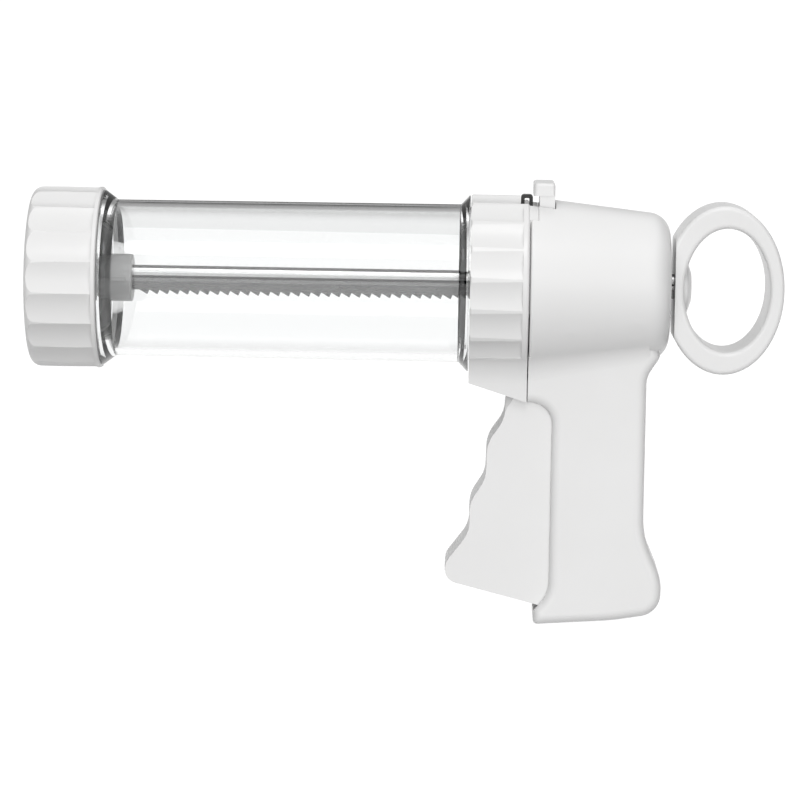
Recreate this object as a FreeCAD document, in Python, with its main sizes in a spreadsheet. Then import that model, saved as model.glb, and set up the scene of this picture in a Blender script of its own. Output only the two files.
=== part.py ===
import FreeCAD, Part
import math
import os
import Sketcher

# Ratchet cookie press, millimetres. X runs back along the barrel from the centre of the
# front cap's rim, Z is up, and the user's left hand side is -Y.

SIZES = {
    # front cap
    "cap_length": 25.3, "cap_radius": 32.2, "cap_bore": 28.9, "cap_mouth": 23.0, "cap_lip": 2.0,
    "cap_rim": 1.6, "flute_radius": 18.0, "flute_centre": 48.8, "flute_taper": 0.6, "flutes": 18,
    # cookie disc
    "disc_radius": 26.8, "disc_front": 2.3, "disc_thick": 1.9, "petals": 6,
    # clear tube
    "tube_front": 4.5, "tube_rear": 169.0, "tube_inner": 25.4, "tube_outer": 27.8, "tube_draft": 0.3,
    "spigot_radius": 27.2, "flange_radius": 31.0, "flange_length": 4.7, "flange_land": 0.4,
    "thread_pitch": 6.0, "thread_height": 1.3, "thread_root": 2.4, "thread_crest": 1.2,
    "lug_front": 163.0, "lug_length": 3.0, "lug_top": 28.3, "lug_half": 5.0, "lugs": 3,
    # plunger
    "plunger_radius": 25.1, "plunger_front": 4.9, "plunger_rear": 13.0, "plunger_plate": 2.6,
    "hub_radius": 8.45, "hub_rear": 35.8, "skirt_thick": 2.0,
    # rack rod
    "rod_front": 16.0, "rod_rear": 230.0, "bead_radius": 2.4, "bead_height": 2.2, "web_half": 1.2,
    "web_bottom": -4.1, "tooth_depth": 1.5, "tooth_pitch": 3.6, "tooth_start": 38.2, "teeth": 50,
    # front collar
    "collar_front": 155.8, "collar_rear": 176.4, "collar_radius": 31.75, "collar_bore": 27.5,
    "channel_radius": 29.0, "collar_rim": 2.2, "tongue_rear": 179.4, "tongue_half": 19.2,
    "neck_front_z": -34.0, "neck_rear_z": -40.5, "twist": 45.0,
    # handle shells
    "body_front": 176.8, "body_rear": 226.4, "body_radius": 31.2, "body_end": 25.5, "wall": 2.4,
    "grip_half": 15.5, "grip_front": 185.4, "grip_back": 218.7, "grip_bottom": -120.2,
    "tip_radius": 8.0, "notch_front": 173.1, "notch_half": 12.0, "notch_floor": 27.4,
    # release button
    "button_front": 177.7, "button_rear": 185.2, "button_half": 11.5, "button_low": 32.2,
    "button_top": 36.7, "stem_front": 179.8, "leg_inner": 7.7, "press": 3.0,
    # trigger and its pawl
    "pivot_x": 191.5, "pivot_z": -19.4, "pin_radius": 2.0, "running_gap": 0.05,
    "pawl_x": 200.0, "pawl_z": -10.5, "pawl_pin": 1.25, "pawl_lift": 12.0,
    "trigger_half": 12.7, "trigger_rear": 187.0,
    # ring pull
    "ring_base": 228.0, "ring_end": 266.5, "ring_half_height": 29.8, "ring_half": 13.0,
    "hole_front": 231.2, "hole_end": 261.4, "hole_half_height": 21.8, "boss_radius": 9.7,
    "boss_end": 234.2,
    # screws
    "screw_radius": 1.2, "screw_head": 2.5, "screw_bore": 1.35, "head_seat": 6.0,
}
SCREW_PLACES = ((203.0, 17.0), (214.0, -14.0), (212.0, -42.0), (219.0, -106.5))


class Size:
    """A number, and the spreadsheet expression that gives it."""

    def __init__(self, value, text):
        self.value = value
        self.text = text

    def join(self, sign, other, value):
        return Size(value, "(%s %s %s)" % (self.text, sign, words(other)))

    def __add__(self, other):
        return self.join("+", other, self.value + number(other))

    def __sub__(self, other):
        return self.join("-", other, self.value - number(other))

    def __mul__(self, other):
        return self.join("*", other, self.value * number(other))

    def __truediv__(self, other):
        return self.join("/", other, self.value / number(other))

    def __neg__(self):
        return Size(-self.value, "(-%s)" % self.text)


def number(size):
    return size.value if isinstance(size, Size) else float(size)


def words(size):
    return size.text if isinstance(size, Size) else repr(float(size))


class Sheet:
    """The spreadsheet, whose cells are read as attributes."""

    def __init__(self, doc, sizes):
        sheet = doc.addObject("Spreadsheet::Sheet", "Sizes")
        for row, (name, value) in enumerate(sizes.items(), start=1):
            sheet.set("A%d" % row, name)
            sheet.set("B%d" % row, str(value))
            sheet.setAlias("B%d" % row, name)
            setattr(self, name, Size(value, "Sizes." + name))


DOC = FreeCAD.newDocument("cookie_press")
S = Sheet(DOC, SIZES)
DOC.recompute()
NODES = []


# ---------------------------------------------------------------- general helpers

def bind(thing, name, size):
    """Set a property and tie it to the spreadsheet."""
    if "." not in name:
        setattr(thing, name, number(size))
    if isinstance(size, Size):
        thing.setExpression(name, size.text)


def new_body(name):
    return DOC.addObject("PartDesign::Body", name)


def origin_plane(body, role):
    return [f for f in body.Origin.OriginFeatures if f.Role == role][0]


def new_sketch(body, role, offset=0.0):
    """An empty sketch on one of the body's origin planes, moved along the plane's normal."""
    sketch = body.newObject("Sketcher::SketchObject", body.Name + "_sketch")
    sketch.AttachmentSupport = [(origin_plane(body, role), "")]
    sketch.MapMode = "FlatFace"
    sketch.AttachmentOffset = FreeCAD.Placement(FreeCAD.Vector(0, 0, number(offset)), FreeCAD.Rotation())
    bind(sketch, "AttachmentOffset.Base.z", offset)
    return sketch


def fix(sketch, kind, places, size):
    """A dimensional constraint, tied to the spreadsheet."""
    index = sketch.addConstraint(Sketcher.Constraint(kind, *places, number(size)))
    if isinstance(size, Size):
        sketch.renameConstraint(index, "d%d" % index)
        sketch.setExpression("Constraints.d%d" % index, size.text)


def fix_point(sketch, geometry, point, u, v):
    fix(sketch, "DistanceX", (-1, 1, geometry, point), u)
    fix(sketch, "DistanceY", (-1, 1, geometry, point), v)


def rounding(before, corner, after, radius):
    """Where a corner's arc starts and ends, and its middle point."""
    a = (before - corner).normalize()
    b = (after - corner).normalize()
    half = a.getAngle(b) / 2
    start = corner + a * (radius / math.tan(half))
    end = corner + b * (radius / math.tan(half))
    middle = corner + (a + b).normalize() * (radius / math.sin(half) - radius)
    return start, middle, end


def outline(body, role, corners, offset=0.0):
    """A closed outline: each corner is (u, v) or (u, v, rounding radius)."""
    sketch = new_sketch(body, role, offset)
    points = [FreeCAD.Vector(number(c[0]), number(c[1]), 0) for c in corners]
    count = len(points)
    arcs = []
    for i, corner in enumerate(corners):
        if len(corner) > 2:
            arcs.append(rounding(points[i - 1], points[i], points[(i + 1) % count], number(corner[2])))
        else:
            arcs.append((points[i], None, points[i]))
    for i in range(count):
        sketch.addGeometry(Part.LineSegment(arcs[i][2], arcs[(i + 1) % count][0]), False)
    for i, corner in enumerate(corners):
        line_in, line_out = (i - 1) % count, i
        if arcs[i][1] is None:
            sketch.addConstraint(Sketcher.Constraint("Coincident", line_in, 2, line_out, 1))
            fix_point(sketch, line_out, 1, corner[0], corner[1])
            continue
        arc = sketch.addGeometry(Part.Arc(*arcs[i]), False)
        flat = sketch.getPoint(arc, 1).distanceToPoint(arcs[i][0]) < 1e-6
        first, last = (1, 2) if flat else (2, 1)
        sketch.addConstraint(Sketcher.Constraint("Tangent", line_in, 2, arc, first))
        sketch.addConstraint(Sketcher.Constraint("Tangent", line_out, 1, arc, last))
        fix(sketch, "Radius", (arc,), corner[2])
        mark = sketch.addGeometry(Part.Point(points[i]), True)
        fix_point(sketch, mark, 1, corner[0], corner[1])
        sketch.addConstraint(Sketcher.Constraint("PointOnObject", mark, 1, line_in))
        sketch.addConstraint(Sketcher.Constraint("PointOnObject", mark, 1, line_out))
    return sketch


def circle(body, role, u, v, radius, offset=0.0):
    sketch = new_sketch(body, role, offset)
    place = FreeCAD.Vector(number(u), number(v), 0)
    sketch.addGeometry(Part.Circle(place, FreeCAD.Vector(0, 0, 1), number(radius)), False)
    fix(sketch, "Radius", (0,), radius)
    fix_point(sketch, 0, 3, u, v)
    return sketch


def rectangle(body, role, u0, u1, v0, v1, offset=0.0):
    return outline(body, role, [(u0, v0), (u1, v0), (u1, v1), (u0, v1)], offset)


def feature(body, kind, sketch, **properties):
    """A PartDesign feature on a sketch, checked to have changed the body's volume."""
    before = body.Shape.Volume if body.Shape and not body.Shape.isNull() else 0.0
    made = body.newObject("PartDesign::" + kind, body.Name + "_" + kind)
    made.Profile = sketch
    for name, value in properties.items():
        if isinstance(value, (Size, float, int)) and not isinstance(value, bool):
            bind(made, name, value)
        else:
            setattr(made, name, value)
    DOC.recompute()
    if abs(body.Shape.Volume - before) < 1e-3:
        raise RuntimeError("%s of %s changes nothing" % (kind, body.Name))
    return made


def pad(body, sketch, length, symmetric=False, reverse=False):
    side = "Symmetric" if symmetric else "One side"
    return feature(body, "Pad", sketch, Length=length, SideType=side, Reversed=reverse)


def pocket(body, sketch, length, symmetric=False, reverse=False, **more):
    side = "Symmetric" if symmetric else "One side"
    return feature(body, "Pocket", sketch, Length=length, SideType=side, Reversed=reverse, **more)


def revolve(body, corners):
    """A solid of revolution about X from an outline of (x, radius) corners."""
    sketch = outline(body, "XZ_Plane", corners)
    return feature(body, "Revolution", sketch, ReferenceAxis=(sketch, ["H_Axis"]), Angle=360.0)


def groove(body, corners):
    sketch = outline(body, "XZ_Plane", corners)
    return feature(body, "Groove", sketch, ReferenceAxis=(sketch, ["H_Axis"]), Angle=360.0)


def around(body, original, count):
    """Repeat a feature round the X axis."""
    axis = [f for f in body.Origin.OriginFeatures if f.Role == "X_Axis"][0]
    pattern = body.newObject("PartDesign::PolarPattern", body.Name + "_pattern")
    pattern.Originals = [original]
    pattern.Axis = (axis, [""])
    pattern.Angle = 360.0
    bind(pattern, "Occurrences", count)
    body.Tip = pattern
    DOC.recompute()
    return pattern


def combine(kind, name, *parts):
    """A boolean of whole solids: Cut and Common take two, MultiFuse any number."""
    made = DOC.addObject("Part::" + kind, name)
    if kind in ("MultiFuse", "MultiCommon"):
        made.Shapes = list(parts)
    else:
        made.Base, made.Tool = parts
    DOC.recompute()
    return made


def cylinder(name, start, axis, radius, length):
    """A Part cylinder from a start point along an axis, given as (x, y, z) letters."""
    made = DOC.addObject("Part::Cylinder", name)
    bind(made, "Radius", radius)
    bind(made, "Height", length)
    turn = FreeCAD.Rotation(FreeCAD.Vector(0, 0, 1), FreeCAD.Vector(*axis))
    made.Placement = FreeCAD.Placement(FreeCAD.Vector(*[number(p) for p in start]), turn)
    for letter, place in zip("xyz", start):
        bind(made, "Placement.Base." + letter, place)
    return made


def box(name, low, high):
    made = DOC.addObject("Part::Box", name)
    for key, a, b in zip(("Length", "Width", "Height"), low, high):
        bind(made, key, (b - a) if isinstance(b, Size) else Size(number(b), repr(number(b))) - a)
    made.Placement.Base = FreeCAD.Vector(*[number(p) for p in low])
    for letter, place in zip("xyz", low):
        bind(made, "Placement.Base." + letter, place)
    return made


def coil(name, start, axis, radius, wire, turns, height, steps=12):
    """A coil spring: a round wire bent in short straight steps, this many to a turn."""
    count = int(turns * steps)
    points = []
    for i in range(count + 1):
        angle = 2 * math.pi * i / steps
        points.append(FreeCAD.Vector(radius * math.cos(angle), radius * math.sin(angle), height * i / count))
    spine = DOC.addObject("Part::Feature", name + "_line")
    spine.Shape = Part.makePolygon(points)
    section = DOC.addObject("Part::Circle", name + "_wire")
    section.Radius = wire
    facing = FreeCAD.Rotation(FreeCAD.Vector(0, 0, 1), points[1] - points[0])
    section.Placement = FreeCAD.Placement(points[0], facing)
    made = DOC.addObject("Part::Sweep", name)
    made.Sections = [section]
    made.Spine = spine
    made.Solid = True
    made.Transition = "Right corner"
    turn = FreeCAD.Rotation(FreeCAD.Vector(0, 0, 1), FreeCAD.Vector(*axis))
    made.Placement = FreeCAD.Placement(FreeCAD.Vector(*[number(p) for p in start]), turn)
    DOC.recompute()
    expected = math.hypot(2 * math.pi * radius * turns, height) * math.pi * wire ** 2
    if abs(made.Shape.Volume - expected) > 0.08 * expected:
        raise RuntimeError("%s: volume %.1f, expected %.1f" % (name, made.Shape.Volume, expected))
    return made


def round_edges(name, body, chosen, radius):
    """Round the edges of a solid that chosen(edge) picks."""
    made = DOC.addObject("Part::Fillet", name)
    made.Base = body
    picked = [i + 1 for i, edge in enumerate(body.Shape.Edges) if chosen(edge)]
    made.Edges = [(i, radius, radius) for i in picked]
    DOC.recompute()
    return made


def node(label, thing):
    """Name a finished sub-part: its label is its file's name."""
    thing.Label = label
    NODES.append(thing)
    return thing


def flutes(body, front, length, taper, phase):
    """Concave scallops cut round the rim, from front along +X, the first at phase degrees from the top."""
    side, up = math.sin(math.radians(phase)), math.cos(math.radians(phase))
    sketch = circle(body, "YZ_Plane", S.flute_centre * -side, S.flute_centre * up, S.flute_radius, front)
    cut = pocket(body, sketch, length, reverse=True, TaperAngle=taper)
    return around(body, cut, S.flutes)


def thread_ridge(body, start, base, tip, turns):
    """A helical ridge round X, with a trapezoid section from the base radius to the tip radius."""
    root, crest = S.thread_root / 2, S.thread_crest / 2
    corners = [(start - root, base), (start + root, base), (start + crest, tip), (start - crest, tip)]
    sketch = outline(body, "XZ_Plane", corners)
    return feature(body, "AdditiveHelix", sketch, ReferenceAxis=(sketch, ["H_Axis"]),
                   Mode="pitch-height-angle", Pitch=S.thread_pitch, Height=S.thread_pitch * turns)


# ---------------------------------------------------------------- nose: cap, disc, tube

def front_cap():
    body = new_body("cap")
    end, rim = S.cap_length, S.cap_radius
    revolve(body, [(0.0, S.cap_mouth), (0.0, rim - 0.3, 3.6), (end, rim, 0.8), (end, S.cap_bore),
                   (S.tube_front, S.cap_bore), (S.tube_front, S.disc_radius + 0.4),
                   (S.cap_lip, S.disc_radius + 0.4), (S.cap_lip, S.cap_mouth)])
    flutes(body, 0.0, end - S.cap_rim, S.flute_taper, 6.0)
    thread_ridge(body, S.tube_front + 6.5, S.cap_bore + 0.3, S.cap_bore - S.thread_height, 1.5)
    return node("front_cap", body)


def cookie_disc():
    """A stamped disc with a flower of petal slots round a centre hole."""
    body = new_body("disc")
    front, thick = S.disc_front, S.disc_thick
    revolve(body, [(front, 1.6), (front, S.disc_radius, 0.4), (front + thick, S.disc_radius, 0.4),
                   (front + thick, S.disc_radius - 2.2), (front + thick / 2, S.disc_radius - 2.6),
                   (front + thick / 2, 1.6)])
    petal = [(-1.0, 4.0, 0.9), (1.0, 4.0, 0.9), (3.1, 13.6, 3.0), (0.0, 17.4, 1.2), (-3.1, 13.6, 3.0)]
    sketch = outline(body, "YZ_Plane", petal, front - 1.0)
    cut = pocket(body, sketch, 5.0, reverse=True)
    around(body, cut, S.petals)
    return node("cookie_disc", body)


def barrel_tube():
    body = new_body("tube")
    front, rear = S.cap_length + 0.3, S.collar_front - 0.3
    land, cone, flange = S.flange_land, S.flange_length, S.flange_radius
    revolve(body, [(S.tube_front, S.tube_inner), (S.tube_front, S.spigot_radius, 0.4),
                   (front, S.spigot_radius), (front, flange, 0.2), (front + land, flange, 0.3),
                   (front + cone, S.tube_outer, 0.8), (rear - cone + 1.3, S.tube_outer + S.tube_draft, 0.8),
                   (rear - land, flange + 0.3, 0.3), (rear, flange + 0.3, 0.2),
                   (rear, S.spigot_radius), (S.tube_rear, S.spigot_radius, 0.4),
                   (S.tube_rear, S.tube_inner)])
    thread_ridge(body, S.tube_front + 3.5, S.spigot_radius - 0.3, S.spigot_radius + S.thread_height, 2.0)
    lug = rectangle(body, "YZ_Plane", -S.lug_half, S.lug_half, S.spigot_radius - 1.0, S.lug_top, S.lug_front)
    around(body, pad(body, lug, S.lug_length), S.lugs)
    return node("barrel_tube", body)


# ---------------------------------------------------------------- plunger, rod, ring pull

def plunger():
    body = new_body("plunger")
    front, plate, skirt = S.plunger_front, S.plunger_plate, S.skirt_thick
    inner = S.plunger_radius - skirt
    revolve(body, [(front, 0.0), (front, S.plunger_radius, 0.6), (S.plunger_rear, S.plunger_radius, 0.5),
                   (S.plunger_rear, inner), (front + plate, inner - 1.0, 1.5),
                   (front + plate, S.hub_radius, 1.0), (S.hub_rear, S.hub_radius, 0.6), (S.hub_rear, 0.0)])
    rib = rectangle(body, "XY_Plane", front + plate - 0.5, S.hub_rear - 2.0, -S.hub_radius - 0.5,
                    S.hub_radius + 0.5)
    pad(body, rib, 1.4, symmetric=True)
    slot = rectangle(body, "YZ_Plane", -S.bead_radius - 0.1, S.bead_radius + 0.1, S.web_bottom - 0.1,
                     S.bead_height + S.bead_radius + 0.1, S.rod_front - 0.2)
    pocket(body, slot, 30.0, reverse=True)
    recess = circle(body, "YZ_Plane", 0.0, 0.0, 4.4, front - 1.0)
    pocket(body, recess, 4.0, reverse=True)
    bore = circle(body, "YZ_Plane", 0.0, 0.0, 1.9, front)
    pocket(body, bore, 14.0, reverse=True)
    node("plunger_disc", body)
    screw("plunger_screw", front + 0.4, 1.0, 4.0, 1.8, 20.0)


def screw(label, head_face, direction, head, shank, length):
    """A pan-head screw along X with a cross recess, its head face at head_face."""
    body = new_body(label + "_body")
    way = 1.0 if direction > 0 else -1.0
    corners = [(head_face, 0.0), (head_face, head, 0.8), (head_face + 2.4 * way, head),
               (head_face + 2.4 * way, shank), (head_face + length * way, shank, 0.6),
               (head_face + length * way, 0.0)]
    revolve(body, corners)
    for role_half in ((0.45, 2.0), (2.0, 0.45)):
        sketch = rectangle(body, "YZ_Plane", -role_half[0], role_half[0], -role_half[1], role_half[1],
                           head_face - way)
        pocket(body, sketch, 2.4, reverse=way > 0)
    return node(label, body)


def rack_rod():
    body = new_body("rod")
    length = S.rod_rear - S.rod_front
    web = rectangle(body, "YZ_Plane", -S.web_half, S.web_half, S.web_bottom, S.bead_height, S.rod_front)
    pad(body, web, length)
    pad(body, circle(body, "YZ_Plane", 0.0, S.bead_height, S.bead_radius, S.rod_front), length)
    start, root, tip = S.tooth_start, S.web_bottom, S.web_bottom - S.tooth_depth
    tooth = outline(body, "XZ_Plane", [(start, root + 0.3), (start, root), (start + 2.6, tip),
                                       (start + 2.85, tip), (start + 3.5, root), (start + 3.5, root + 0.3)])
    first = pad(body, tooth, S.web_half * 2, symmetric=True)
    axis = [f for f in body.Origin.OriginFeatures if f.Role == "X_Axis"][0]
    row = body.newObject("PartDesign::LinearPattern", "rod_teeth")
    row.Originals = [first]
    row.Direction = (axis, [""])
    bind(row, "Length", S.tooth_pitch * (S.teeth - 1))
    bind(row, "Occurrences", S.teeth)
    body.Tip = row
    DOC.recompute()
    front_bore = circle(body, "YZ_Plane", 0.0, 0.0, 1.82, S.rod_front - 1.0)
    pocket(body, front_bore, 10.5, reverse=True)
    rear_bore = circle(body, "YZ_Plane", 0.0, 0.0, 1.52, S.rod_rear - 12.0)
    pocket(body, rear_bore, 14.0, reverse=True)
    return node("rack_rod", body)


def ellipse_pad(name, centre, half_length, half_height, width):
    """An elliptical slab in the XZ plane, width across Y."""
    shape = DOC.addObject("Part::Ellipse", name + "_outline")
    tall = half_height.value > half_length.value
    bind(shape, "MajorRadius", half_height if tall else half_length)
    bind(shape, "MinorRadius", half_length if tall else half_height)
    turn = FreeCAD.Rotation(FreeCAD.Vector(1, 0, 0), 90) * FreeCAD.Rotation(FreeCAD.Vector(0, 0, 1), 90)
    shape.Placement = FreeCAD.Placement(FreeCAD.Vector(number(centre), 0, 0), turn)
    bind(shape, "Placement.Base.x", centre)
    slab = DOC.addObject("Part::Extrusion", name)
    slab.Base = shape
    slab.DirMode = "Custom"
    slab.Dir = FreeCAD.Vector(0, 1, 0)
    slab.Solid = True
    slab.Symmetric = True
    bind(slab, "LengthFwd", width)
    return slab


def pull_ring():
    centre = S.ring_end - 21.2
    slab = ellipse_pad("ring_slab", centre, S.ring_end - centre, S.ring_half_height, S.ring_half * 2)
    trim = box("ring_trim", (S.ring_base, -30.0, -40.0), (S.ring_end + 1.0, 30.0, 40.0))
    outer = combine("Common", "ring_outer", slab, trim)
    hole = ellipse_pad("ring_hole", (S.hole_front + S.hole_end) / 2, (S.hole_end - S.hole_front) / 2,
                       S.hole_half_height, S.ring_half * 3)
    hoop = combine("Cut", "ring_hoop", outer, hole)

    def curved_rim(edge):
        return edge.BoundBox.YLength < 0.01 and edge.BoundBox.XLength > 0.01

    soft = round_edges("ring_soft", hoop, curved_rim, 1.6)
    body = new_body("ring_boss")
    revolve(body, [(S.ring_base, 0.0), (S.ring_base, S.boss_radius), (S.boss_end - 1.6, S.boss_radius, 1.6),
                   (S.boss_end, 5.0, 3.0), (S.boss_end, 0.0)])
    whole = combine("MultiFuse", "ring_whole", soft, body)
    socket = box("ring_socket", (S.ring_base - 1.0, -2.5, -4.2), (S.rod_rear + 0.1, 2.5, 4.7))
    bore = cylinder("ring_bore", (S.ring_base, 0.0, 0.0), (1, 0, 0), 1.6, 10.0)
    seat = cylinder("ring_seat", (S.boss_end - 2.6, 0.0, 0.0), (1, 0, 0), 3.4, 5.0)
    tools = combine("MultiFuse", "ring_tools", socket, bore, seat)
    node("pull_ring", combine("Cut", "ring", whole, tools))
    screw("ring_screw", S.boss_end - 0.2, -1.0, 3.2, 1.5, 12.0)


# ---------------------------------------------------------------- handle

def neck_corners(half, side_low, corner_z, rounding_radius, touch_y, touch_z):
    """Cross section of the neck: from the round body's sides down to flat grip sides."""
    return [(-touch_y / 2, touch_z / 2), (-touch_y, touch_z), (-half, corner_z, rounding_radius),
            (-half, side_low), (half, side_low), (half, corner_z, rounding_radius),
            (touch_y, touch_z), (touch_y / 2, touch_z / 2)]


def front_collar():
    ring = new_body("collar_ring")
    front, rear, outer = S.collar_front, S.collar_rear, S.collar_radius
    revolve(ring, [(front, S.collar_bore), (front, outer, 0.8), (rear, outer, 0.9), (rear, S.collar_bore)])
    flutes(ring, front - 0.5, rear - front - S.collar_rim + 0.5, S.flute_taper, -7.0)
    neck = new_body("collar_neck")
    corners = neck_corners(S.grip_half, -45.0, -28.3, 11.5, 20.1, -24.5)
    pad(neck, outline(neck, "YZ_Plane", corners, front), rear - front)
    slope = outline(neck, "XZ_Plane", [(front - 1.0, S.neck_front_z), (front, S.neck_front_z, 0.6),
                                       (rear, S.neck_rear_z), (rear + 1.0, S.neck_rear_z),
                                       (rear + 1.0, -60.0), (front - 1.0, -60.0)])
    pocket(neck, slope, 60.0, symmetric=True)
    skirt = new_body("collar_skirt")
    revolve(skirt, [(rear - 2.0, S.collar_bore - 0.7), (S.tongue_rear, S.collar_bore - 0.7),
                    (S.tongue_rear, S.collar_bore + 0.5), (rear - 2.0, S.collar_bore + 0.5)])
    low = rectangle(skirt, "XZ_Plane", rear - 0.2, S.tongue_rear + 1.0, -40.0, -8.0)
    pocket(skirt, low, 90.0, symmetric=True)
    tongue = new_body("collar_tongue")
    revolve(tongue, [(rear - 1.0, S.collar_bore), (rear - 1.0, S.body_radius), (rear, S.body_radius),
                     (S.tongue_rear, S.body_radius - 0.3), (S.tongue_rear, S.collar_bore)])
    keep = box("tongue_keep", (rear - 1.0, -S.tongue_half, 5.0), (S.tongue_rear + 1.0, S.tongue_half, 40.0))
    tongue_cut = combine("Common", "tongue_cut", tongue, keep)
    whole = combine("MultiFuse", "collar_whole", ring, neck, skirt, tongue_cut)
    hollow = new_body("collar_hollow")
    bore, lug = S.collar_bore, S.channel_radius
    revolve(hollow, [(front - 1.0, 0.0), (front - 1.0, bore), (S.lug_front - 0.3, bore),
                     (S.lug_front - 0.3, lug), (S.lug_front + S.lug_length + 0.3, lug),
                     (S.lug_front + S.lug_length + 0.3, bore), (S.tube_rear + 1.5, bore),
                     (S.tube_rear + 1.5, bore - 0.3), (rear - 2.0, bore - 0.3), (rear - 2.0, bore - 0.7),
                     (S.tongue_rear + 1.0, bore - 0.7), (S.tongue_rear + 1.0, 0.0)])
    entry = rectangle(hollow, "YZ_Plane", -S.lug_half - 0.5, S.lug_half + 0.5, 20.0, S.lug_top + 0.4,
                      front - 1.0)
    around(hollow, pad(hollow, entry, S.lug_front - front + 1.0), S.lugs)
    hollow.Placement.Rotation = FreeCAD.Rotation(FreeCAD.Vector(1, 0, 0), S.twist.value)
    bind(hollow, "Placement.Rotation.Angle", S.twist)
    inside = S.grip_half - S.wall
    cavity = box("collar_cavity", (S.collar_front + 11.7, -inside, -60.0), (rear + 5.0, inside, -31.8))
    notch = box("collar_notch", (S.notch_front, -S.notch_half, S.notch_floor),
                (S.stem_front, S.notch_half, 40.0))
    tools = combine("MultiFuse", "collar_tools", hollow, cavity, notch)
    return node("front_collar", combine("Cut", "collar", whole, tools))


def handle_form(name, wall, neck_front, neck_rear, trim, grip):
    """The handle's closed form in three solids: round body, neck and grip, drawn wall inwards."""
    front = S.body_front - wall / 2
    rear = S.body_rear - wall
    round_body = new_body(name + "_round")
    revolve(round_body, [(front, 0.0), (front, S.body_radius - wall, 0.9),
                         (rear, S.body_end - wall, S.tip_radius - wall), (rear, 0.0)])
    neck = new_body(name + "_neck")
    half = S.grip_half - wall
    sections = []
    for place, (touch_y, touch_z, corner_z, rounding_radius) in ((front, neck_front), (rear, neck_rear)):
        corners = neck_corners(half, -70.0, corner_z, rounding_radius, touch_y, touch_z)
        sections.append(outline(neck, "YZ_Plane", corners, place))
    feature(neck, "AdditiveLoft", sections[0], Sections=[sections[1]], Ruled=True)
    side = new_body(name + "_side_outline")
    pad(side, outline(side, "XZ_Plane", trim), 80.0, symmetric=True)
    handle = new_body(name + "_grip")
    pad(handle, outline(handle, "XZ_Plane", grip), half * 2, symmetric=True)
    return round_body, combine("Common", name + "_neck_cut", neck, side), handle


def outer_form():
    front, back, toe = S.body_front, S.grip_back, S.grip_front - 5.2
    trim = [(front - 1.0, -5.0), (210.0, -10.0), (219.0, -17.0), (219.5, -23.0), (back - 3.5, -29.0, 8.0),
            (back - 3.5, -34.0), (front - 1.0, -34.0)]
    grip = [(front, -20.0), (front, -40.7), (S.grip_front, -41.5, 7.5), (S.grip_front, -109.0, 12.0),
            (toe, -115.0, 0.8), (toe, S.grip_bottom, 1.5), (208.0, S.grip_bottom + 1.9, 60.0),
            (back + 6.4, -115.5, 8.0), (back + 6.9, -103.5, 18.0), (back, -87.5, 32.0), (back, -31.0, 9.0),
            (back + 4.7, -23.8, 2.5), (back + 0.8, -12.0)]
    none = Size(0.0, "0.0")
    return handle_form("outer", none, (19.9, -24.1, -28.0, 11.5), (17.9, -18.2, -20.55, 7.5), trim, grip)


def inner_form():
    front, back, floor = S.body_front, S.grip_back - S.wall, S.grip_bottom + 3.0
    trim = [(front - 3.0, -5.0), (207.0, -10.0), (220.5, -20.4), (222.0, -22.8), (back, -30.3, 9.0),
            (back, -34.0), (front - 3.0, -34.0)]
    grip = [(170.0, -20.0), (170.0, floor + 2.0), (182.5, floor + 2.0), (182.5, floor),
            (208.0, floor + 1.7), (back + 6.3, -112.0, 4.5), (back + 6.9, -104.0, 14.0),
            (back, -88.0, 28.0), (back, -20.0)]
    return handle_form("inner", S.wall, (18.3, -22.3, -26.9, 13.7), (16.2, -16.5, -19.55, 9.7), trim, grip)


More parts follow.
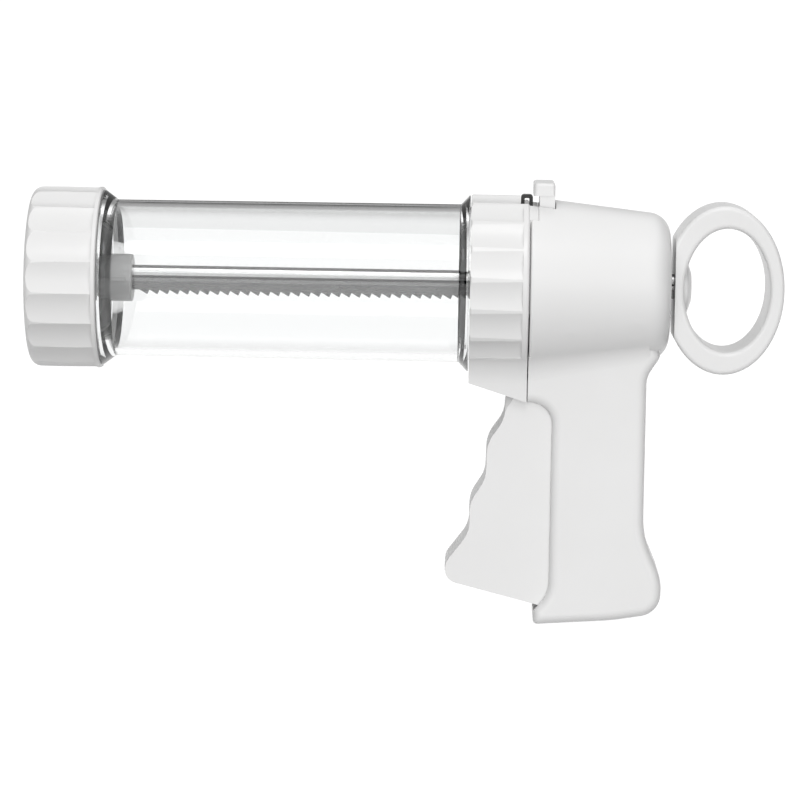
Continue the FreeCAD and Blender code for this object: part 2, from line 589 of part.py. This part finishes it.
def handle_shells():
    outer_round, outer_neck, outer_grip = outer_form()
    side = S.grip_half.value

    def back_edge(edge):
        """The long edges round the grip's back and bottom, on both sides."""
        box_ = edge.BoundBox
        flat = box_.YLength < 0.01 and abs(abs(box_.Center.y) - side) < 0.01
        return flat and (box_.XMin > S.grip_front.value + 1 or box_.ZMax < -116)

    soft_grip = round_edges("outer_soft", outer_grip, back_edge, 3.5)
    outer = combine("MultiFuse", "outer_form", outer_round, outer_neck, soft_grip)
    inner = combine("MultiFuse", "inner_form", *inner_form())
    hollow = combine("Cut", "handle_hollow", outer, inner)

    adds_left, adds_right, cuts_left, cuts_right = [], [], [], []
    for i, (x, z) in enumerate(SCREW_PLACES):
        adds_left.append(cylinder("post_l%d" % i, (x, -40.0, z), (0, 1, 0), 3.2, 40.0))
        adds_right.append(cylinder("post_r%d" % i, (x, 0.0, z), (0, 1, 0), 4.4, 40.0))
        cuts_left.append(cylinder("pilot%d" % i, (x, -10.0, z), (0, 1, 0), S.screw_radius + 0.02, 12.0))
        cuts_right.append(cylinder("clear%d" % i, (x, -1.0, z), (0, 1, 0), S.screw_bore, 30.0))
        cuts_right.append(cylinder("deep%d" % i, (x, S.head_seat, z), (0, 1, 0), 2.8, 40.0))
    for way, adds, cuts in ((-1, adds_left, cuts_left), (1, adds_right, cuts_right)):
        adds.append(cylinder("pin_post%d" % way, (S.pivot_x, 9.7 * way, S.pivot_z), (0, way, 0), 4.8, 30.0))
        cuts.append(cylinder("pin_hole%d" % way, (S.pivot_x, 5.0 * way, S.pivot_z), (0, way, 0),
                             S.pin_radius + 0.02, 12.0))

    slot = box("button_slot", (S.stem_front - 0.4, -S.button_half - 0.3, 20.0),
               (S.button_rear + 0.4, S.button_half + 0.3, 40.0))
    step = box("tongue_step", (S.body_front - 1.0, -S.tongue_half - 0.15, 5.0),
               (S.tongue_rear + 0.12, S.tongue_half + 0.15, 40.0))
    gap = box("rod_gap", (S.body_rear - 8.0, -5.2, -8.2), (S.body_rear + 2.0, 5.2, 7.2))
    openings = combine("MultiFuse", "handle_openings", slot, step, gap)
    for label, adds, cuts, low, high in (
            ("left_housing", adds_left, cuts_left, -60.0, -0.05),
            ("right_housing", adds_right, cuts_right, 0.05, 60.0)):
        posts = combine("MultiFuse", label + "_posts", *adds)
        inside = combine("Common", label + "_inside", posts, outer)
        solid = combine("MultiFuse", label + "_solid", hollow, inside)
        half = combine("Common", label + "_half", solid,
                       box(label + "_side", (150.0, low, -130.0), (240.0, high, 60.0)))
        tools = combine("MultiFuse", label + "_tools", openings, *cuts)
        node(label, combine("Cut", label + "_done", half, tools))


def housing_screws():
    """Four self-tapping screws along Y, one group."""
    screws = []
    for i, (x, z) in enumerate(SCREW_PLACES):
        head = cylinder("screw_head%d" % i, (x, S.head_seat, z), (0, 1, 0), S.screw_head, 1.8)
        shank = cylinder("screw_shank%d" % i, (x, -8.0, z), (0, 1, 0), S.screw_radius, 15.0)
        cross = combine("MultiFuse", "screw_cross%d" % i,
                        box("cross_a%d" % i, (x - 0.3, 7.0, z - 1.5), (x + 0.3, 9.0, z + 1.5)),
                        box("cross_b%d" % i, (x - 1.5, 7.0, z - 0.3), (x + 1.5, 9.0, z + 0.3)))
        whole = combine("MultiFuse", "screw_whole%d" % i, head, shank)
        screws.append(combine("Cut", "screw%d" % i, whole, cross))
    group = DOC.addObject("Part::Compound", "screws")
    group.Links = screws
    DOC.recompute()
    return node("housing_screws", group)


def guides():
    """The bulkhead with its block over the rod, and the rear bush."""
    front = S.tube_rear + 1.7
    plate = cylinder("guide_plate", (front, 0.0, 0.0), (1, 0, 0), S.collar_bore - 0.5, 2.8)
    block = box("guide_block", (front, -6.8, -12.0), (S.stem_front - 0.6, 6.8, 17.0))
    shelf = box("guide_shelf", (front, -6.8, 5.8), (S.button_rear + 0.2, 6.8, 17.0))
    whole = combine("MultiFuse", "guide_whole", plate, block, shelf)
    way = box("guide_way", (front - 1.0, -S.bead_radius - 0.2, -6.3), (S.button_rear + 1.0, 2.6, 4.9))
    node("front_guide", combine("Cut", "guide", whole, way))
    bush = box("bush", (S.body_rear - 7.6, -5.1, -8.1), (S.body_rear - 0.4, 5.1, 7.1))
    bush_way = box("bush_way", (S.body_rear - 9.0, -S.bead_radius - 0.2, -6.3),
                   (S.body_rear + 1.0, S.bead_radius + 0.2, 4.9))
    node("rear_guide", combine("Cut", "bush_done", bush, bush_way))


# ---------------------------------------------------------------- release button

def release():
    body = new_body("button")
    half = S.button_half
    head = outline(body, "XY_Plane", [(S.button_front, -half, 1.6), (S.button_rear, -half, 1.2),
                                      (S.button_rear, half, 1.2), (S.button_front, half, 1.6)],
                   S.button_low)
    pad(body, head, S.button_top - S.button_low)
    stem = rectangle(body, "XY_Plane", S.stem_front, S.button_rear, -half + 0.3, half - 0.3, 21.0)
    pad(body, stem, S.button_low - 21.0)
    for way in (-1.0, 1.0):
        a, b = S.leg_inner * way, (half - 0.6) * way
        low, high = (b, a) if way < 0 else (a, b)
        leg = rectangle(body, "XY_Plane", S.stem_front + 0.4, S.button_rear - 0.4, low, high, -12.5)
        pad(body, leg, 34.0)
    bar = box("bar_space", (S.stem_front + 0.3, -9.6, -11.1), (S.button_rear - 0.1, 9.6, -6.8))
    well = cylinder("spring_well", (182.5, 0.0, 20.0), (0, 0, 1), 3.6, 8.0)
    tools = combine("MultiFuse", "button_tools", bar, well)
    cut = combine("Cut", "button_cut", body, tools)
    top = number(S.button_top)

    def head_rim(edge):
        box_ = edge.BoundBox
        return box_.ZLength < 0.01 and abs(box_.ZMax - top) < 0.01

    node("release_button", round_edges("button_soft", cut, head_rim, 1.0))
    plate = new_body("bar")
    x0, x1 = S.stem_front + 0.4, S.button_rear - 0.2
    pad(plate, rectangle(plate, "XZ_Plane", x0, x1, -11.0, -6.9), 19.0, symmetric=True)
    tooth = outline(plate, "XZ_Plane", [(181.95, -8.0), (x1, -8.0), (x1, -7.0), (182.3, -4.7),
                                        (181.95, -4.7)])
    pad(plate, tooth, 3.2, symmetric=True)
    node("holding_pawl", plate)
    node("release_spring", coil("button_coil", (182.5, 0.0, 17.5), (0, 0, 1), 2.7, 0.35, 5.5, 9.9))


def button_clip():
    """A black arch that stands in the notch in front of the button."""
    body = new_body("clip")
    x0, x1, low, high, thick = 173.3, 177.5, S.notch_floor + 0.05, 32.1, 1.25
    corners = [(x0, low), (x0 + thick, low), (x0 + thick, high - thick, 0.4), (x1 - thick, high - thick, 0.4),
               (x1 - thick, low), (x1, low), (x1, high, 1.1), (x0, high, 1.1)]
    pad(body, outline(body, "XZ_Plane", corners), 5.0, symmetric=True)
    return node("button_clip", body)


# ---------------------------------------------------------------- trigger group

FINGERS = ((169.0, -46.8, 12.0), (162.9, -55.5, 12.0), (162.6, -68.3, 12.0), (157.0, -77.0, 12.0),
           (157.2, -87.5, 12.0), (149.0, -98.3, 5.0))


def trigger():
    body = new_body("trigger_body")
    rear = S.trigger_rear
    lever = [(169.4, -33.0, 1.5)] + list(FINGERS) + [
        (148.0, -104.7, 5.0), (rear - 3.5, -113.6, 2.0), (rear, -110.4, 2.0), (rear, -45.0, 4.0),
        (181.0, -33.0, 2.0)]
    pad(body, outline(body, "XZ_Plane", lever), S.trigger_half * 2, symmetric=True)
    hollow = [(173.5, -50.0, 2.0), (167.0, -64.0, 3.0), (161.5, -80.0, 3.0), (153.5, -100.5, 3.0),
              (155.0, -104.0, 2.0), (rear + 2.0, -111.9), (rear + 2.0, -50.0)]
    pocket(body, outline(body, "XZ_Plane", hollow), S.trigger_half * 2 - 5.0, symmetric=True)
    web = [(172.0, -38.0, 2.0), (rear - 0.5, -51.0, 2.0), (197.5, -23.0, 3.0), (194.0, -16.0, 2.0),
           (188.0, -17.2, 3.0), (180.0, -33.0, 4.0)]
    pad(body, outline(body, "XZ_Plane", web), 17.0, symmetric=True)
    hub = circle(body, "XZ_Plane", S.pivot_x, S.pivot_z, 5.0)
    pad(body, hub, 18.6, symmetric=True)
    arm = [(188.2, -17.6, 1.5), (193.0, -24.0, 1.5), (203.4, -12.6, 2.8), (201.4, -7.4, 2.6)]
    pad(body, outline(body, "XZ_Plane", arm), 11.4, symmetric=True)
    slot = rectangle(body, "XZ_Plane", 191.0, 206.0, -13.8, -5.0)
    pocket(body, slot, 6.4, symmetric=True)
    pocket(body, circle(body, "XZ_Plane", S.pivot_x, S.pivot_z, S.pin_radius + S.running_gap), 60.0,
           symmetric=True)
    pocket(body, circle(body, "XZ_Plane", S.pawl_x, S.pawl_z, S.pawl_pin), 60.0, symmetric=True)
    top_a = outline(body, "XY_Plane", [(168.0, -13.5), (177.5, -13.5), (168.0, -7.5)], -32.5)
    top_b = outline(body, "XY_Plane", [(160.0, -13.5), (163.0, -13.5), (160.0, -12.6)], -56.0)
    bevel = feature(body, "SubtractiveLoft", top_a, Sections=[top_b], Ruled=True)
    mirror = body.newObject("PartDesign::Mirrored", "trigger_mirror")
    mirror.Originals = [bevel]
    mirror.MirrorPlane = (origin_plane(body, "XZ_Plane"), [""])
    body.Tip = mirror
    DOC.recompute()
    post = cylinder("trigger_post", (164.5, 0.0, -62.0), (1, 0, 0), 5.6, 19.0)
    stud = cylinder("trigger_stud", (180.0, 0.0, -62.0), (1, 0, 0), 2.4, 9.0)
    node("trigger", combine("MultiFuse", "trigger_whole", body, post, stud))
    node("trigger_pin", cylinder("pivot", (S.pivot_x, -16.0, S.pivot_z), (0, 1, 0), S.pin_radius, 32.0))
    node("trigger_spring", coil("return_coil", (184.05, 0.0, -62.0), (1, 0, 0), 4.0, 0.5, 8, 31.7))


def drive_pawl():
    """The pawl is drawn engaged and turned down to its rest place."""
    body = new_body("pawl")
    x, z = S.pawl_x, S.pawl_z
    shape = [(193.0, -4.9), (193.35, -4.9), (195.0, -7.1, 1.0), (199.0, -8.2, 1.5), (201.0, -9.5, 1.0),
             (200.5, -12.7, 1.5), (198.0, -12.6, 2.0), (192.75, -8.6, 0.5)]
    pad(body, outline(body, "XZ_Plane", shape), 3.2, symmetric=True)
    pad(body, circle(body, "XZ_Plane", x, z, 2.4), 3.2, symmetric=True)
    pocket(body, circle(body, "XZ_Plane", x, z, S.pawl_pin + S.running_gap), 20.0, symmetric=True)
    turn = FreeCAD.Rotation(FreeCAD.Vector(0, 1, 0), -S.pawl_lift.value)
    body.Placement = FreeCAD.Placement(FreeCAD.Vector(0, 0, 0), turn, FreeCAD.Vector(x.value, 0, z.value))
    node("drive_pawl", body)
    node("drive_pawl_pin", cylinder("pawl_axle", (x, -5.6, z), (0, 1, 0), S.pawl_pin, 11.2))
    node("drive_pawl_spring", coil("pawl_coil", (x.value, 1.95, z.value), (0, 1, 0), 1.75, 0.22, 2, 1.0))


# ---------------------------------------------------------------- build and write

def check_and_write():
    DOC.recompute()
    for thing in DOC.Objects:
        if "Invalid" in thing.State or "Error" in thing.State:
            raise RuntimeError("%s (%s) failed: %s" % (thing.Name, thing.Label, thing.State))
    os.makedirs("parts", exist_ok=True)
    for thing in NODES:
        shape = thing.Shape
        if shape.isNull() or not shape.isValid():
            raise RuntimeError("%s is not a valid shape" % thing.Label)
        shape.exportStep("parts/%s.step" % thing.Label)
        print("%-20s %8.1f mm3, %d solid(s)" % (thing.Label, shape.Volume, len(shape.Solids)))


front_cap()
cookie_disc()
barrel_tube()
plunger()
rack_rod()
pull_ring()
front_collar()
handle_shells()
housing_screws()
guides()
release()
button_clip()
trigger()
drive_pawl()
check_and_write()
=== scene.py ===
import math

import bpy
from mathutils import Matrix, Vector


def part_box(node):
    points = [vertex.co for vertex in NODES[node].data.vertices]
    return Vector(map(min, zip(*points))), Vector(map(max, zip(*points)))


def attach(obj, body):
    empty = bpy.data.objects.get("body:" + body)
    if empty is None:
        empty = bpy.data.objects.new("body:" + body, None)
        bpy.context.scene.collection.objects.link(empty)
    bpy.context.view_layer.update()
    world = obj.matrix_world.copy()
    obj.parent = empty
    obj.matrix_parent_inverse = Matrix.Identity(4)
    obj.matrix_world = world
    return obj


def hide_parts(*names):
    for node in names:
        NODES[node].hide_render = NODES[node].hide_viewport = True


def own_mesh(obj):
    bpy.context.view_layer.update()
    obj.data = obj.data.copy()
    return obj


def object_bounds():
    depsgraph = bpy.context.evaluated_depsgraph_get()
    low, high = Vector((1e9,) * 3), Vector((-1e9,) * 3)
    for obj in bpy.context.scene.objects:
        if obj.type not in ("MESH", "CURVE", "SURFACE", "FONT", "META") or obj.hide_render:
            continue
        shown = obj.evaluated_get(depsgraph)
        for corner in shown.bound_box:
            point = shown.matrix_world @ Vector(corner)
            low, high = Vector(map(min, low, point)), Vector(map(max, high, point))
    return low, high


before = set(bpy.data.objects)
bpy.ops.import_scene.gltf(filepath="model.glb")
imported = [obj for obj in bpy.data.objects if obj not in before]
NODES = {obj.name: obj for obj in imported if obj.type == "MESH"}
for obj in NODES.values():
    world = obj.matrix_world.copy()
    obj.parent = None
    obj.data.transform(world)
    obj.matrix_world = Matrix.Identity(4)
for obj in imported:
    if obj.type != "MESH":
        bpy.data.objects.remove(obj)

CAD_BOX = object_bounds()
MM_PER_M = 1000


# ---------------------------------------------------------------- materials

class Nodes:
    """A material's node tree with short ways to add and join nodes."""

    def __init__(self, name):
        self.material = bpy.data.materials.new(name)
        self.material.use_nodes = True
        self.tree = self.material.node_tree
        self.shader = self.tree.nodes["Principled BSDF"]
        self.place = self.add("ShaderNodeTexCoord").outputs["Object"]

    def add(self, kind, **values):
        node = self.tree.nodes.new(kind)
        for key, value in values.items():
            setattr(node, key, value)
        return node

    def join(self, source, target):
        self.tree.links.new(source, target)

    def noise(self, scale, detail=3.0, roughness=0.5, stretch=(1, 1, 1)):
        mapping = self.add("ShaderNodeMapping")
        mapping.inputs["Scale"].default_value = stretch
        self.join(self.place, mapping.inputs["Vector"])
        node = self.add("ShaderNodeTexNoise")
        node.inputs["Scale"].default_value = scale
        node.inputs["Detail"].default_value = detail
        node.inputs["Roughness"].default_value = roughness
        self.join(mapping.outputs["Vector"], node.inputs["Vector"])
        return node.outputs["Fac"]

    def spread(self, value, low, high, start=0.3, end=0.7):
        node = self.add("ShaderNodeMapRange")
        node.inputs["From Min"].default_value = start
        node.inputs["From Max"].default_value = end
        node.inputs["To Min"].default_value = low
        node.inputs["To Max"].default_value = high
        self.join(value, node.inputs["Value"])
        return node.outputs["Result"]

    def colours(self, value, stops):
        ramp = self.add("ShaderNodeValToRGB")
        ends = ramp.color_ramp.elements
        while len(ends) < len(stops):
            ends.new(0.5)
        for element, (place, colour) in zip(ends, stops):
            element.position = place
            element.color = (*colour, 1.0)
        self.join(value, ramp.inputs["Fac"])
        return ramp.outputs["Color"]

    def bump(self, heights, distance):
        """heights: list of (value, strength), chained from coarse to fine."""
        last = None
        for value, strength in heights:
            node = self.add("ShaderNodeBump")
            node.inputs["Strength"].default_value = strength
            node.inputs["Distance"].default_value = distance
            self.join(value, node.inputs["Height"])
            if last:
                self.join(last.outputs["Normal"], node.inputs["Normal"])
            last = node
        self.join(last.outputs["Normal"], self.shader.inputs["Normal"])

    def values(self, **values):
        for key, value in values.items():
            self.shader.inputs[key.replace("_", " ")].default_value = value


def grey(level, warm=0.0):
    return (level + warm, level, level - warm)


def plastic(name, level, warm=0.0, gloss=(0.30, 0.36), bumpy=0.2, spread=0.008):
    """Injection-moulded plastic: faint clouding, uneven gloss and a fine moulded grain."""
    m = Nodes(name)
    clouds = m.noise(38.0, 4.0, 0.55)
    dark, light = grey(level - spread, warm), grey(level + spread * 0.6, warm * 0.6)
    m.join(m.colours(clouds, [(0.32, dark), (0.68, light)]), m.shader.inputs["Base Color"])
    m.join(m.spread(m.noise(160.0, 3.0, 0.6), *gloss), m.shader.inputs["Roughness"])
    m.bump([(m.noise(420.0, 2.0, 0.5), bumpy * 0.5), (m.noise(2600.0, 2.0, 0.6), bumpy)], 0.00004)
    m.values(IOR=1.49, Coat_Weight=0.12, Coat_Roughness=0.18)
    return m


def clear_plastic():
    """Clear acrylic with faint moulding waves and a few hairline scuffs."""
    m = Nodes("clear_acrylic")
    waves = m.noise(30.0, 2.0, 0.4, (0.12, 1, 1))
    scuffs = m.noise(900.0, 4.0, 0.7, (0.06, 1, 1))
    m.join(m.spread(scuffs, 0.0, 0.06, 0.55, 0.85), m.shader.inputs["Roughness"])
    m.join(m.colours(waves, [(0.3, (0.915, 0.92, 0.92)), (0.7, (0.93, 0.935, 0.935))]),
           m.shader.inputs["Base Color"])
    m.bump([(waves, 0.05)], 0.0003)
    m.values(Transmission_Weight=1.0, IOR=1.45)
    return m


def brush(m, rough, along, fine):
    """Make a material bare metal, with brush lines along one direction."""
    lines = m.noise(fine, 3.0, 0.6, along)
    m.join(m.spread(lines, rough * 0.75, rough * 1.3), m.shader.inputs["Roughness"])
    m.bump([(lines, 0.18)], 0.00003)
    m.values(Metallic=1.0)


def metal(name, level, rough, along, warm=0.0, fine=1500.0):
    """Drawn or stamped metal with faint clouding."""
    m = Nodes(name)
    dark, light = grey(level - 0.04, warm), grey(level + 0.02, warm)
    clouds = m.noise(60.0, 4.0, 0.6)
    m.join(m.colours(clouds, [(0.3, dark), (0.7, light)]), m.shader.inputs["Base Color"])
    brush(m, rough, along, fine)
    return m


def rod_metal():
    """Drawn aluminium rod coloured in stripes by height: a painted highlight along the rounded top rib, a
    painted shade line where that rib meets the toothed web, and a painted dark reflection line along its
    top edge, over the darker web.
    """
    m = Nodes("rod_aluminium")
    half_height = 0.005
    web, root_shade, bead_highlight, crest_dark_reflection = 0.22, 0.08, 0.60, 0.12
    # Painted light: the bright stripe is a painted highlight, the dark stripe under it is painted shade,
    # and the dark stripe on top is a painted reflection.
    painted_light_bands = [(0.53, web), (0.56, root_shade), (0.60, root_shade), (0.63, bead_highlight), (0.86, bead_highlight), (0.885, crest_dark_reflection)]
    height = m.add("ShaderNodeSeparateXYZ")
    m.join(m.place, height.inputs["Vector"])
    level = m.spread(height.outputs["Z"], 0.0, 1.0, -half_height, half_height)
    m.join(m.colours(level, [(place, grey(tone)) for place, tone in painted_light_bands]), m.shader.inputs["Base Color"])
    brush(m, 0.24, (0.05, 1, 1), 1500.0)
    return m


WHITE = plastic("white_plastic", 0.66, 0.002).material
WHITE_CAP = plastic("white_plastic_cap", 0.65, 0.002, bumpy=0.15).material
WHITE_HANDLE = plastic("white_plastic_handle", 0.67, 0.002, gloss=(0.32, 0.38)).material
GREY = plastic("grey_plastic", 0.44, 0.0, gloss=(0.3, 0.45)).material
BLACK = plastic("black_plastic", 0.012, 0.0, gloss=(0.3, 0.42), spread=0.004).material
CLEAR = clear_plastic().material
ROD = rod_metal().material
DISC = metal("disc_aluminium", 0.74, 0.22, (1, 1, 0.05)).material
STEEL = metal("zinc_steel", 0.55, 0.28, (1, 1, 1), 0.004, 800.0).material

FINISH = {
    "front_cap": WHITE_CAP, "cookie_disc": DISC, "barrel_tube": CLEAR, "plunger_disc": GREY,
    "plunger_screw": STEEL, "rack_rod": ROD, "pull_ring": WHITE, "ring_screw": STEEL,
    "front_collar": WHITE_CAP, "left_housing": WHITE_HANDLE, "right_housing": WHITE_HANDLE,
    "housing_screws": STEEL, "front_guide": GREY, "rear_guide": GREY, "trigger": WHITE_HANDLE,
    "trigger_pin": STEEL, "trigger_spring": STEEL, "drive_pawl": STEEL, "drive_pawl_pin": STEEL,
    "drive_pawl_spring": STEEL, "release_button": WHITE, "holding_pawl": STEEL,
    "release_spring": STEEL, "button_clip": BLACK,
}
for name, material in FINISH.items():
    mesh = NODES[name].data
    mesh.materials.clear()
    mesh.materials.append(material)


# ---------------------------------------------------------------- detail pieces

def new_piece(name, points, faces, material, body):
    mesh = bpy.data.meshes.new(name)
    mesh.from_pydata(points, [], faces)
    mesh.materials.append(material)
    for polygon in mesh.polygons:
        polygon.use_smooth = True
    piece = bpy.data.objects.new(name, mesh)
    bpy.context.scene.collection.objects.link(piece)
    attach(piece, body)
    return piece


def rounded(corners, step):
    """Points a fixed step apart along a line of (x, z, radius) corners, in mm."""
    points = [Vector((x, z)) for x, z, _ in corners]
    path = [points[0]]
    for i in range(1, len(points) - 1):
        before = (points[i - 1] - points[i]).normalized()
        after = (points[i + 1] - points[i]).normalized()
        half = before.angle(after) / 2
        radius = corners[i][2]
        centre = points[i] + (before + after).normalized() * (radius / math.sin(half))
        start = points[i] + before * (radius / math.tan(half))
        end = points[i] + after * (radius / math.tan(half))
        for t in range(13):
            spoke = (start - centre).lerp(end - centre, t / 12).normalized()
            path.append(centre + spoke * radius)
    path.append(points[-1])
    even, need = [path[0]], step
    for a, b in zip(path, path[1:]):
        run = (b - a).length
        while need <= run:
            even.append(a.lerp(b, need / run))
            need += step
        need -= run
    return even


def trigger_ribs():
    """Fine cross ribs down the trigger's finger grooves."""
    corners = [(169.2, -40.5, 0), (169.0, -46.8, 12), (162.9, -55.5, 12), (162.6, -68.3, 12),
               (157.0, -77.0, 12), (157.2, -87.5, 12), (149.0, -98.3, 5), (148.5, -101.5, 0)]
    step, pitch, tall, sunk, run_out = 0.125, 1.0, 0.24, 0.03, 1.2
    neck_z, neck_length, neck_narrowing = -52, 11.5, 0.42
    path = rounded(corners, step)
    columns = [(-12.55, -0.12), (-12.2, 0.35), (-11.6, 1.0), (-6.0, 1.0), (0.0, 1.0), (6.0, 1.0),
               (11.6, 1.0), (12.2, 0.35), (12.55, -0.12)]
    points, faces = [], []
    for i, place in enumerate(path):
        ahead = path[min(i + 1, len(path) - 1)] - path[max(i - 1, 0)]
        outward = Vector((ahead.y, -ahead.x)).normalized()
        if outward.x > 0:
            outward = -outward
        wave = 0.5 + 0.5 * math.cos(2 * math.pi * i * step / pitch)
        end = min(i, len(path) - 1 - i) * step
        rise = tall * wave ** 0.7 * min(1.0, end / run_out)
        narrow = 1.0 if place.y < neck_z else 1.0 - neck_narrowing * (place.y - neck_z) / neck_length
        for y, share in columns:
            lift = rise * share if share > 0 else share
            spot = place + outward * (lift - sunk)
            points.append((spot.x / MM_PER_M, y * narrow / MM_PER_M, spot.y / MM_PER_M))
    wide = len(columns)
    for i in range(len(path) - 1):
        for j in range(wide - 1):
            a = i * wide + j
            faces.append((a, a + wide, a + wide + 1, a + 1))
    new_piece("trigger_ribs", points, faces, WHITE_HANDLE, "trigger")


def coil_spring(name, node, body, along, radius, wire, turns):
    """A smooth round-wire coil with closed end turns, in the place of a CAD spring."""
    low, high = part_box(node)
    length = high[along] - low[along] - 2 * wire
    middle = (low + high) / 2
    start = low[along] + wire
    points, faces = [], []
    per_turn, ring, closed_turns, touching = 40, 12, 0.9, 2.05 * wire
    across = [axis for axis in range(3) if axis != along]
    count = int(turns * per_turn)
    flat = closed_turns / turns
    for i in range(count + 1):
        t = i / count
        climb = min(max((t - flat) / (1 - 2 * flat), 0.0), 1.0)
        rest = touching * (min(t, flat) + max(t - 1 + flat, 0)) / (2 * flat)
        height = rest + climb * (length - touching)
        angle = 2 * math.pi * turns * t
        out = (math.cos(angle), math.sin(angle))
        for k in range(ring):
            turn = 2 * math.pi * k / ring
            reach = radius + wire * math.cos(turn)
            spot = Vector(middle)
            spot[across[0]] += out[0] * reach
            spot[across[1]] += out[1] * reach
            spot[along] = start + (height + wire * math.sin(turn))
            points.append(spot)
    for i in range(count):
        for k in range(ring):
            a, b = i * ring + k, i * ring + (k + 1) % ring
            faces.append((a, b, b + ring, a + ring))
    faces.append(tuple(range(ring)))
    faces.append(tuple(count * ring + k for k in reversed(range(ring))))
    piece = new_piece(name, points, faces, STEEL, body)
    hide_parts(node)
    return piece


trigger_ribs()
return_coil = coil_spring("return_coil", "trigger_spring", "handle", 0, 0.004, 0.0005, 9.5)
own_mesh(return_coil)
button_coil = coil_spring("button_coil", "release_spring", "handle", 2, 0.0027, 0.00035, 6.5)
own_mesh(button_coil)
coil_spring("pawl_coil", "drive_pawl_spring", "trigger", 1, 0.00175, 0.00022, 2.4)


# ---------------------------------------------------------------- stage, light, camera

def floor_material():
    """A pale surface that also glows a little, as a lit studio sweep does."""
    material = bpy.data.materials.new("floor_white")
    material.use_nodes = True
    shader = material.node_tree.nodes["Principled BSDF"]
    shader.inputs["Base Color"].default_value = (0.1, 0.1, 0.1, 1)
    shader.inputs["Roughness"].default_value = 0.9
    shader.inputs["Specular IOR Level"].default_value = 0.0
    shader.inputs["Emission Color"].default_value = (1, 1, 1, 1)
    shader.inputs["Emission Strength"].default_value = 1.0
    return material


def make_floor():
    gap, size = 0.0002, 60.0
    level = CAD_BOX[0].z - gap
    mesh = bpy.data.meshes.new("floor")
    corners = [(-size, -size, level), (size, -size, level), (size, size, level), (-size, size, level)]
    mesh.from_pydata(corners, [], [(0, 1, 2, 3)])
    floor = bpy.data.objects.new("floor", mesh)
    bpy.context.scene.collection.objects.link(floor)
    mesh.materials.append(floor_material())
    floor.visible_diffuse = floor.visible_shadow = False


def area_light(name, place, target, size, power):
    light = bpy.data.lights.new(name, "AREA")
    light.shape = "RECTANGLE"
    light.size = light.size_y = size
    light.energy = power
    lamp = bpy.data.objects.new(name, light)
    bpy.context.scene.collection.objects.link(lamp)
    lamp.location = place
    lamp.rotation_mode = "QUATERNION"
    lamp.rotation_quaternion = (Vector(target) - Vector(place)).to_track_quat("-Z", "Y")
    return lamp


def make_world():
    """A studio surround: soft boxes in front, above and below, dark sides, a white horizon behind."""
    world = bpy.data.worlds.new("studio")
    world.use_nodes = True
    tree = world.node_tree
    way = tree.nodes.new("ShaderNodeTexCoord")
    split = tree.nodes.new("ShaderNodeSeparateXYZ")
    tree.links.new(way.outputs["Generated"], split.inputs["Vector"])

    def fade(axis, start, end, level):
        node = tree.nodes.new("ShaderNodeMapRange")
        node.interpolation_type = "SMOOTHSTEP"
        for key, number in (("From Min", start), ("From Max", end), ("To Min", 0.0), ("To Max", level)):
            node.inputs[key].default_value = number
        tree.links.new(split.outputs[axis], node.inputs["Value"])
        return node.outputs["Result"]

    def both(operation, first, second):
        node = tree.nodes.new("ShaderNodeMath")
        node.operation = operation
        tree.links.new(first, node.inputs[0])
        tree.links.new(second, node.inputs[1])
        return node.outputs["Value"]

    boxes = both("ADD", fade("Y", -0.55, -0.95, 2.1), fade("Z", 0.5, 0.9, 1.35))
    boxes = both("ADD", boxes, fade("Z", -0.2, -0.6, 0.14))
    glow = both("ADD", fade("Z", 0.22, 0.04, 0.6), fade("Z", -0.25, -0.1, 0.34))
    light = both("ADD", boxes, both("MULTIPLY", glow, fade("Y", 0.3, 0.7, 1.0)))
    tree.links.new(light, tree.nodes["Background"].inputs["Color"])
    bpy.context.scene.world = world


def make_lights():
    middle = (0.13, 0.0, -0.03)
    area_light("overhead_front", (0.15, -0.9, 1.1), middle, 0.5, 3.2)
    fill = area_light("rear_fill", (0.3, 1.4, 0.5), middle, 0.8, 4.0)
    fill.visible_glossy = fill.visible_transmission = False


def make_camera():
    """The photograph's view: from the left side, a little above, with a long lens."""
    data = bpy.data.cameras.new("camera")
    camera = bpy.data.objects.new("camera", data)
    bpy.context.scene.collection.objects.link(camera)
    distance, elevation = 1.29, math.radians(6.8)
    rearward, view_width, sensor = 0.025, 0.2857, 36.0
    target = Vector((0.1315, 0.0, -0.0422))
    place = target + Vector((rearward, -distance * math.cos(elevation), distance * math.sin(elevation)))
    camera.location = place
    aim = (target - place).to_track_quat("-Z", "Y").to_matrix().to_4x4()
    roll = Matrix.Rotation(math.radians(0.9), 4, "Z")
    camera.rotation_mode = "QUATERNION"
    camera.rotation_quaternion = (aim @ roll).to_quaternion()
    data.sensor_width = sensor
    data.lens = sensor * distance / view_width
    data.clip_end = 200.0
    bpy.context.scene.camera = camera


make_floor()
make_world()
make_lights()
make_camera()
bpy.context.scene.view_settings.view_transform = "Standard"

# ---------------------------------------------------------------- close

bpy.context.view_layer.update()
